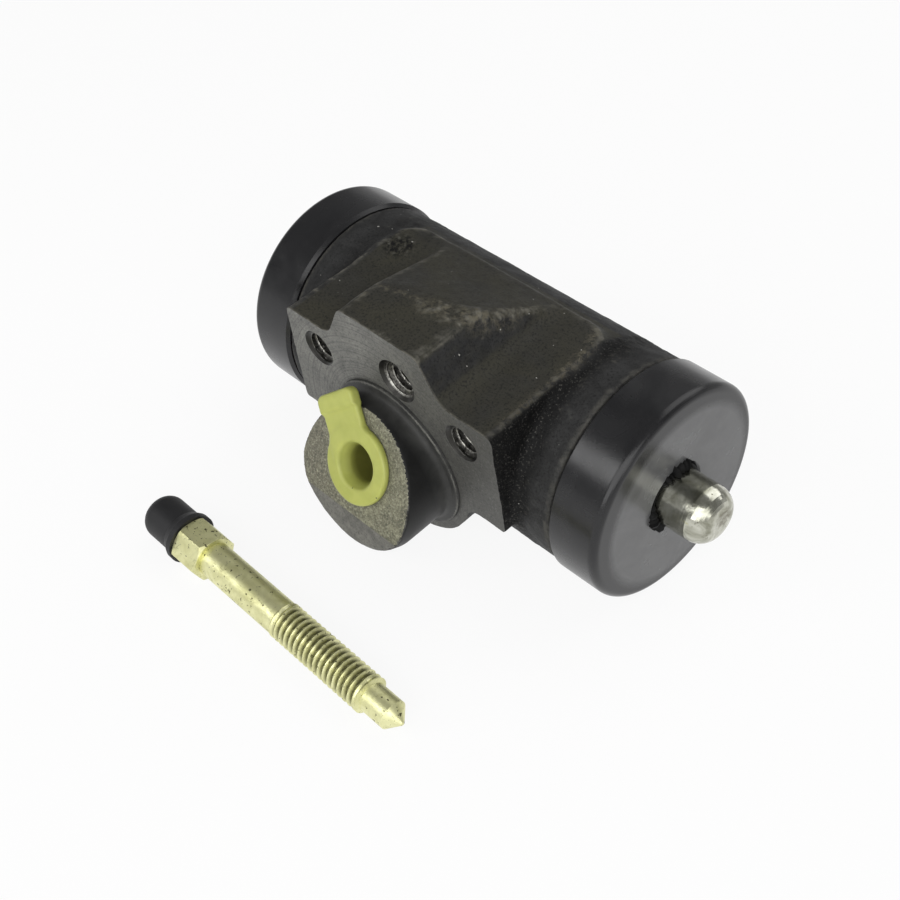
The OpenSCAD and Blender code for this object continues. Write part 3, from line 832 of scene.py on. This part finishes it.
def into_pad(x, z):
    """A frame at a place on the pad, its Z going into the metal."""
    return Matrix.Translation((x, -PAD, z)) @ Matrix.Rotation(math.radians(-90), 4, "X")


def at_port():
    """The inlet port's frame: Z points out of the slanted face."""
    spot = FROM_ROW @ Vector(mounts["inlet_port"]["pos_m"])
    return Matrix.Translation(spot) @ Matrix.Rotation(math.radians(90 - PORT_SLANT), 4, "X")


def along_bore():
    """A frame in the bore's middle, its Z along the bore."""
    return Matrix.Rotation(math.radians(90), 4, "Y")


def blunt_front():
    """A place on the blunt front's upper edge, at the port face, and the way the front faces."""
    port = at_port().translation
    edge_y = port.y + (FRONT_EDGE - port.z) * math.tan(math.radians(PORT_SLANT))
    slant = math.radians(FRONT_SLANT)
    return Vector((0, edge_y, FRONT_EDGE)), Vector((0, -math.cos(slant), math.sin(slant)))


def boss():
    """The turned land and pilot and the nose along the slanted port, with slightly blunt edges."""
    low = np.array([-LAND_R, -BOSS_FRONT - 2, -LAND_R]) - CAST_ROOM
    high = np.array([LAND_R, CAST_ROOM - PAD, LAND_R]) + CAST_ROOM
    x, y, z = (np.arange(a, b, BOSS_STEP) for a, b in zip(low, high))
    x, y, z = np.meshgrid(x, y, z, indexing="ij")
    reach = np.hypot(x, z)
    land = np.maximum(reach - LAND_R, -y - PAD - LAND_HEIGHT)
    port = at_port()
    out = port.to_3x3() @ Vector((0, 0, 1))
    px, py, pz = port @ Vector((0, -BOSS_DROP, 0))
    along = (y - py) * out.y + (z - pz) * out.z
    across = np.sqrt((x - px) ** 2 + (y - py) ** 2 + (z - pz) ** 2 - along ** 2)
    spot, facing = blunt_front()
    blunt = (y - spot.y) * facing.y + (z - spot.z) * facing.z
    shaft = soft_max(reach - PILOT_R, blunt, BOSS_EDGE)
    nose = soft_max(shaft, soft_max(across - BOSS_R, along, BOSS_EDGE), BOSS_EDGE)
    pilot = np.maximum(reach - PILOT_R, -y - PILOT_FRONT)
    field = soft_min(land, np.minimum(pilot, nose), PILOT_FILLET)
    verts, faces = skin_of(np.maximum(field, y + PAD - 1), low, BOSS_STEP)
    return new_object("boss", verts, faces, AS_IT_IS)


def hole(x, z, depth, sink):
    """A cutter for a threaded blind hole: countersunk mouth, thread and drilled cone."""
    mouth = THREAD_R + sink
    rows = [(-1, 0), (-1, mouth), (0, mouth)]
    rows += threaded(sink, depth, THREAD_R, 0.4, samples=10)
    rows += [(depth, DRILL_R), (depth + DRILL_R * 0.6, 0)]
    return new_object("hole", *turned(rows, THREAD_SIDES), into_pad(x, z))


def housing():
    """The whole casting: rough skin, milled pad, turned boss, bore and ports, with a finish for each."""
    body = cast_body()
    roughen(body)
    # milled flat at the pad
    wall = 60
    combine(body, box_object("front", (-wall, -PAD, -wall), (wall, wall, wall)), "INTERSECT")
    combine(body, boss(), "UNION")
    mouth = BORE_R + BORE_CHAMFER
    end = BARREL_END
    bore_rows = [(-end - 1, 0), (-end - 1, mouth + 1), (-end + BORE_CHAMFER, BORE_R),
                 (end - BORE_CHAMFER, BORE_R), (end + 1, mouth + 1), (end + 1, 0)]
    combine(body, new_object("bore", *turned(bore_rows, 128), along_bore()), "DIFFERENCE")
    half_row = mounts["mounting_holes"]["dims"]["pcd_mm"] / 2
    bolt_z = (FROM_ROW @ Vector(mounts["mounting_holes"]["pos_m"])).z
    bleed = FROM_ROW @ Vector(mounts["bleed_port"]["pos_m"])
    for x in (-half_row, half_row):
        combine(body, hole(x, bolt_z, BOLT_DEPTH, BOLT_SINK), "DIFFERENCE")
    combine(body, hole(bleed.x, bleed.z, BLEED_DEPTH, BLEED_SINK), "DIFFERENCE")
    port_rows = [(-PORT_DEPTH - 20, 0), (-PORT_DEPTH - 20, PASSAGE_R), (-PORT_DEPTH - 2, PASSAGE_R),
                 (-PORT_DEPTH, PORT_R), (1, PORT_R), (1, 0)]
    combine(body, new_object("port", *turned(port_rows, 96), at_port()), "DIFFERENCE")
    finish_housing(body, [(-half_row, bolt_z), (half_row, bolt_z), (bleed.x, bleed.z)])
    body.data.transform(TO_ROW)
    return body


def finish_housing(body, holes):
    """Gives each face of the casting its finish, and marks its ridges, top, sandy steps and worn lines."""
    mesh = body.data
    mesh.materials.clear()
    for material in (cast_look(), pad_look(), boss_look(), face_look(), front_look(), thread_look()):
        mesh.materials.append(material)
    cast, pad, turned_boss, face, front, thread = range(6)
    port = at_port()
    port_out = port.to_3x3() @ Vector((0, 0, 1))
    front_spot, front_out = blunt_front()
    for polygon in mesh.polygons:
        c, n = polygon.center, polygon.normal
        below_pad = -PAD < c.y < -PAD + BLEED_DEPTH / 2
        in_hole = below_pad and any(math.hypot(c.x - x, c.z - z) < THREAD_R + 1 for x, z in holes)
        kind = cast
        if abs(c.y + PAD) < 0.02 and n.y < -0.99:
            kind = pad
        elif in_hole:
            kind = thread
        elif c.y < -PAD - 0.01:
            kind = turned_boss
            if n.dot(port_out) > 0.85 and abs((c - port.translation).dot(port_out)) < FACE_NEAR:
                kind = face
            elif n.dot(front_out) > 0.9 and abs((c - front_spot).dot(front_out)) < FACE_NEAR:
                kind = front
        elif math.hypot(c.y, c.z) < BORE_R + 0.1:
            kind = thread
        polygon.material_index = kind
    spots = [v.co.copy() for v in mesh.vertices]
    upward = np.array([n.vector.z for n in mesh.vertex_normals])
    on_block = np.array([abs(p.x) < TOP_HALF and p.z > TOP_FROM for p in spots])
    wear_and_highlight_share = np.array([SHOULDER_HIGHLIGHT_SHARE if abs(p.x) > EDGE_WEAR_END else 1 for p in spots])
    marks = {
        "ridge": np.clip(swell(mesh, 4) / 0.06 - 0.35, 0, 1) * wear_and_highlight_share,
        "top": np.clip((upward - 0.45) / 0.2, 0, 1) * on_block,
        "step": np.array([step_share(p) for p in spots]),
        "worn": np.array([max(line_share(p, points, reach) for points, reach in WORN) for p in spots]),
    }
    for name, values in marks.items():
        mark(mesh, name, values)
    smooth(body, 40)


# The loose bleed screw

def screw_frame():
    """The screw's frame in millimetres: origin at the hexagon's outer face, Z towards the tip."""
    low, high = (Vector(c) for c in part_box("bleed_screw"))
    droop = math.atan2(CAP_R - THREAD_R, HEX + SHANK + THREAD - THREAD_END)
    spot = Vector((SCREW_LEFT * MM, (low.y + high.y) / 2, CAP_R * math.cos(droop) * MM))
    turn = Matrix.Rotation(math.radians(90) + droop, 4, "Y")
    return Matrix.Translation(spot) @ turn @ Matrix.Diagonal((MM, MM, MM, 1))


def bleed_screw():
    """The bleed screw with its real thread, chamfered hexagon, drain and cross hole."""
    thread_start, thread_stop = HEX + SHANK, HEX + SHANK + THREAD
    nose_middle, nose_stop = thread_stop + NOSE / 2, thread_stop + NOSE
    rows = [(-NIPPLE, 0), (-NIPPLE, NIPPLE_R), (HEX - 1, NIPPLE_R), (HEX - 1, SHANK_R), (HEX, SHANK_R)]
    rows += [(HEX + 0.5, SHANK_R), (thread_start - 0.3, SHANK_R)]
    rows += threaded(thread_start, thread_stop - 0.4, THREAD_R, 1.0)
    rows += [(thread_stop, NOSE_R + 0.05), (thread_stop + 0.3, NOSE_R), (nose_stop, NOSE_R)]
    rows += [(nose_stop + CONE, CONE_FLAT), (nose_stop + CONE, 0)]
    made = new_object("bleed_screw_threaded", *turned(rows, THREAD_SIDES), AS_IT_IS)
    corner = HEX_AF / math.sqrt(3)
    prism = [(0, 0), (0, corner), (HEX, corner), (HEX, 0)]
    hexagon = new_object("hexagon", *turned(prism, 6), Matrix.Rotation(math.radians(30), 4, "Z"))
    flat, round_r = HEX_AF / 2 - 0.1, corner - 0.05
    chamfer = [(-0.01, 0), (-0.01, flat), (HEX_CHAMFER, round_r), (HEX - HEX_CHAMFER, round_r),
               (HEX + 0.01, flat), (HEX + 0.01, 0)]
    combine(hexagon, new_object("chamfer", *turned(chamfer, 96), AS_IT_IS), "INTERSECT")
    combine(made, hexagon, "UNION")
    drain = [(-NIPPLE - 1, 0), (-NIPPLE - 1, DRAIN_R), (nose_middle, DRAIN_R), (nose_middle + 0.6, 0)]
    combine(made, new_object("drain", *turned(drain, 32), AS_IT_IS), "DIFFERENCE")
    cross = [(0, 0), (0, CROSS_R), (THREAD_R, CROSS_R), (THREAD_R, 0)]
    turn = Matrix.Translation((0, 0, nose_middle)) @ Matrix.Rotation(math.radians(90), 4, "Y")
    combine(made, new_object("cross", *turned(cross, 32), turn), "DIFFERENCE")
    spots = np.array([v.co for v in made.data.vertices])
    threads = (spots[:, 2] > thread_start + 0.4) & (spots[:, 2] < thread_stop - 1)
    grooves = np.clip((THREAD_R - 0.15 - np.hypot(spots[:, 0], spots[:, 1])) / 0.5, 0, 1) * threads
    mark(made.data, "groove", grooves)
    made.data.transform(screw_frame())
    made.data.materials.clear()
    dark, light, speck = (0.64, 0.63, 0.33), (0.88, 0.87, 0.51), (0.03, 0.026, 0.01)
    made.data.materials.append(zinc_look("screw_zinc", dark, light, speck, 0.4, 0.37))
    smooth(made, 30)
    return made


# The moulded plug

def moulded_plug():
    """The plug with a moulding's soft edges: flange, pull tab with a thicker end, stub and flared cup."""
    # room for the pull tab, which is turned to the left and up
    low = np.array([-16, -FLANGE_R - 1, -STUB - 1])
    high = np.array([FLANGE_R + 1, 18, FLANGE + PULL_STEP + 1])
    x, y, z = np.meshgrid(*(np.arange(a, b, PLUG_STEP) for a, b in zip(low, high)), indexing="ij")
    reach = np.hypot(x, y)
    turn = math.radians(PULL_TURN)
    u = x[:, :, :1] * math.cos(turn) + y[:, :, :1] * math.sin(turn)
    v = y[:, :, :1] * math.cos(turn) - x[:, :, :1] * math.sin(turn)
    half = PULL_WIDE / 2
    ends = arc(half - PULL_CORNER, PULL_REACH - PULL_CORNER, PULL_CORNER, 0, 90)
    ends += arc(PULL_CORNER - half, PULL_REACH - PULL_CORNER, PULL_CORNER, 90, 180)
    level = np.abs(z - FLANGE / 2) - FLANGE / 2
    thick = np.abs(z - (FLANGE + PULL_STEP) / 2) - (FLANGE + PULL_STEP) / 2
    disc = soft_max(reach - FLANGE_R, level, PLUG_EDGE)
    pull = soft_max(polygon_distance([(-half, 0), (half, 0)] + ends, u, v), level, PLUG_EDGE)
    foot = PULL_REACH - PULL_END
    grip = soft_max(polygon_distance([(-half, foot), (half, foot)] + ends, u, v), thick, PLUG_EDGE)
    flat = soft_min(soft_min(disc, pull, PLUG_EDGE), grip, PLUG_EDGE)
    stub = soft_max(reach - STUB_R + (STUB_DRAFT / STUB) * -np.minimum(z, 0), -STUB - z, PLUG_EDGE)
    stub = np.maximum(stub, z - FLANGE / 2)
    heights, widths = zip(*CUP)
    cup = np.maximum(reach - np.interp(z, heights, widths), heights[0] - z)
    verts, faces = skin_of(soft_max(np.minimum(flat, stub), -cup, PLUG_EDGE), low, PLUG_STEP)
    made = new_object("inlet_plug_moulded", verts, faces, TO_ROW @ at_port())
    made.data.materials.append(plug_look())
    made.data.shade_smooth()
    return made


# Torn rubber, and the return spring in two halves

def torn_lip(side, rubber):
    """Torn rubber in the hole of a boot's end: a thin collar round the push rod with two ragged flaps."""
    count = 144
    angle = np.arange(count) * math.tau / count
    ring = [Vector((math.cos(a), math.sin(a), side)) for a in angle]
    ragged = np.array([noise.noise(9 * p) + 0.7 * noise.noise(24 * p) for p in ring])
    flap = np.zeros(count)
    for at in LIP_FLAPS:
        away = np.abs((angle - math.radians(at) + math.pi) % math.tau - math.pi)
        flap = np.maximum(flap, np.clip(2.2 - away / LIP_SPREAD * 2.2, 0, 1))
    inner = LIP_R + 0.1 * np.abs(ragged)
    outer = np.maximum(LIP_HOLE + flap * (LIP_FLAP + 1.5 * ragged), LIP_HOLE)
    top = -0.25 + flap * (LIP_RISE + 1.4 * ragged)
    rows = [(-2, inner), (top, inner), (top + 0.15, (inner + outer) / 2), (top * 0.6, outer), (-0.3, outer)]
    rows += [(-0.5, LIP_HOLE), (-2, LIP_HOLE)]
    place = TO_ROW @ Matrix.Translation((side * boot_high.x / MM, 0, 0))
    place = place @ Matrix.Rotation(math.radians(90 * side), 4, "Y")
    name = "boot_lip_right" if side > 0 else "boot_lip_left"
    made = new_object(name, *turned(rows, count, True), place)
    made.data.materials.append(rubber)
    smooth(made, 50)
    return made


def spring_half(side, steel):
    """Half of the coil, from the middle to one expander, its last turn closed against the seat."""
    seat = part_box("return_spring")[1][0] / MM
    wire, sides, steps = SPRING_WIRE, 12, 32
    verts, faces = [], []
    count = SPRING_TURNS * steps
    for i in range(count + 1):
        climb = np.interp(i / count, (0, SPRING_OPEN, 1), (0, 1 - 3 * wire / seat, 1))
        x = (seat - wire) * climb
        a = side * math.tau * i / steps
        for k in range(sides):
            b = math.tau * k / sides
            r = SPRING_R + wire * math.cos(b)
            verts.append((side * (x + wire * math.sin(b)), r * math.cos(a), r * math.sin(a)))
    for i in range(count):
        for k in range(sides):
            j = (k + 1) % sides
            faces.append((i * sides + k, i * sides + j, (i + 1) * sides + j, (i + 1) * sides + k))
    faces.append(tuple(range(sides - 1, -1, -1)))
    faces.append(tuple(range(count * sides, (count + 1) * sides)))
    made = new_object("return_spring_right" if side > 0 else "return_spring_left", verts, faces)
    made.data.shade_smooth()
    made.data.materials.append(steel)
    return made, seat * MM


# Building

casting = housing()
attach(casting, "housing")
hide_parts("housing")

screw = bleed_screw()
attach(screw, "housing")
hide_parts("bleed_screw")

plug = moulded_plug()
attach(plug, "housing")
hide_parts("inlet_plug")

spring_steel = inner_look("spring_wire", grey(0.25), grey(0.4), 1.0, 0.35)
for side, body in ((1, "piston_group_right"), (-1, "piston_group_left")):
    half, seat_x = spring_half(side, spring_steel)
    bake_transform(half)
    if side > 0:
        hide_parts("return_spring")

rod_zinc = zinc_look("rod_zinc", (0.26, 0.26, 0.2), (0.64, 0.64, 0.56), (0.08, 0.07, 0.04), 0.14)
boot_end = boot_high.x / MM
boot_rubber = boot_look("boot_rubber", boot_end)
cap_rubber = boot_look("cap_rubber", 2 * boot_end, 0.5)
torn_rubber = inner_look("torn_rubber", grey(0.003), grey(0.007), 0.0, 0.6, 0.15)
cup_rubber = inner_look("cup_rubber", (0.015, 0.015, 0.016), grey(0.03), 0.0, 0.45)
piston_alloy = inner_look("piston_alloy", (0.45, 0.45, 0.46), (0.62, 0.62, 0.63), 1.0, 0.3)
expander_steel = inner_look("expander_steel", (0.5, 0.5, 0.48), (0.65, 0.65, 0.63), 1.0, 0.32)
finishes = {
    "boot": boot_rubber, "push_rod": rod_zinc, "piston": piston_alloy, "piston_cup": cup_rubber,
    "cup_expander": expander_steel,
}
for kind, material in finishes.items():
    for side in ("left", "right"):
        nodes[f"{kind}_{side}"].data.materials[0] = material
nodes["bleed_cap"].data.materials[0] = cap_rubber
for side in (1, -1):
    lip = torn_lip(side, torn_rubber)
    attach(lip, "housing")


# Stage: floor, light and camera

LOOK_AT = Vector((0, 0, 0.02))
FLOOR_R = 2.2
SWEEP_R = 1.0

# The fitted camera: its turn and rise in degrees, its place from the bore in millimetres, and its lens
CAMERA_TURN = 45.92
CAMERA_RISE = 41.16
CAMERA_AT = Vector((166.66, -173.29, 189.92))
CAMERA_LENS = 57.8


def floor():
    """A plain floor that sweeps up all round: white where it is seen, with the object's shadow on it."""
    look = Look("floor")
    path = look.add("ShaderNodeLightPath")
    seen = look.math("MAXIMUM", path.outputs["Is Camera Ray"], path.outputs["Is Glossy Ray"])
    seen = look.math("MAXIMUM", seen, path.outputs["Is Transmission Ray"])
    away = look.vector("LENGTH", look.spot, (0, 0, 0), "Value")
    # whiter near the object than on the far sweep
    share = look.math("ADD", 0.3, look.times(0.6, look.span(away, 2200, 1000)))
    white = look.add("ShaderNodeEmission", {"Color": (1, 1, 1, 1), "Strength": 1.0})
    blend = look.add("ShaderNodeMixShader", {"Fac": look.times(seen, share)})
    look.surface(Base_Color=(0.9, 0.9, 0.9, 1), Roughness=0.9, Specular_IOR_Level=0.1)
    look.tree.links.new(look.shader.outputs["BSDF"], blend.inputs[1])
    look.tree.links.new(white.outputs["Emission"], blend.inputs[2])
    look.tree.links.new(blend.outputs["Shader"], look.tree.nodes["Material Output"].inputs["Surface"])
    rows = [(0, 0)] + [(SWEEP_R + h, FLOOR_R + r) for r, h in arc(0, 0, SWEEP_R, -90, 0, 12)]
    made = new_object("floor", *turned(rows, 96), AS_IT_IS)
    made.data.shade_smooth()
    made.data.materials.append(look.material)


def world():
    """An even grey surround, well below white, so that black rubber stays black."""
    made = bpy.data.worlds.new("surround")
    made.use_nodes = True
    made.node_tree.nodes["Background"].inputs["Color"].default_value = (0.25, 0.25, 0.25, 1)
    bpy.context.scene.world = made


def lamp(name, direction, away, size, power):
    """A soft square lamp that looks at the object from one side, in metres and watts."""
    light = bpy.data.lights.new(name, "AREA")
    light.shape = "SQUARE"
    light.size = size
    light.energy = power
    made = bpy.data.objects.new(name, light)
    made.location = Vector(direction).normalized() * away + LOOK_AT
    made.rotation_euler = (LOOK_AT - made.location).to_track_quat("-Z", "Y").to_euler()
    bpy.context.scene.collection.objects.link(made)


def camera():
    """The photograph's view: a fitted place, turn and lens for a square frame."""
    azimuth, elevation = math.radians(CAMERA_TURN), math.radians(CAMERA_RISE)
    place = BORE_AT + CAMERA_AT * MM
    back = Vector((math.sin(azimuth) * math.cos(elevation), -math.cos(azimuth) * math.cos(elevation),
                   math.sin(elevation)))
    right = Vector((math.cos(azimuth), math.sin(azimuth), 0))
    up = back.cross(right)
    lens = bpy.data.cameras.new("camera")
    lens.lens = CAMERA_LENS
    lens.clip_start = 0.01
    made = bpy.data.objects.new("camera", lens)
    made.matrix_world = Matrix.Translation(place) @ Matrix((right, up, back)).transposed().to_4x4()
    bpy.context.scene.collection.objects.link(made)
    bpy.context.scene.camera = made


floor()
world()
lamp("key", (0.35, -0.8, 0.5), 0.9, 0.8, 5.0)
lamp("window", (-0.38, -0.75, 0.52), 0.9, 0.32, 1.4)
lamp("side", (0.85, -0.35, 0.4), 0.9, 0.5, 1.8)
lamp("back", (0.1, 0.6, 0.75), 0.9, 0.8, 3.0)
camera()
bpy.context.scene.view_settings.view_transform = "Standard"
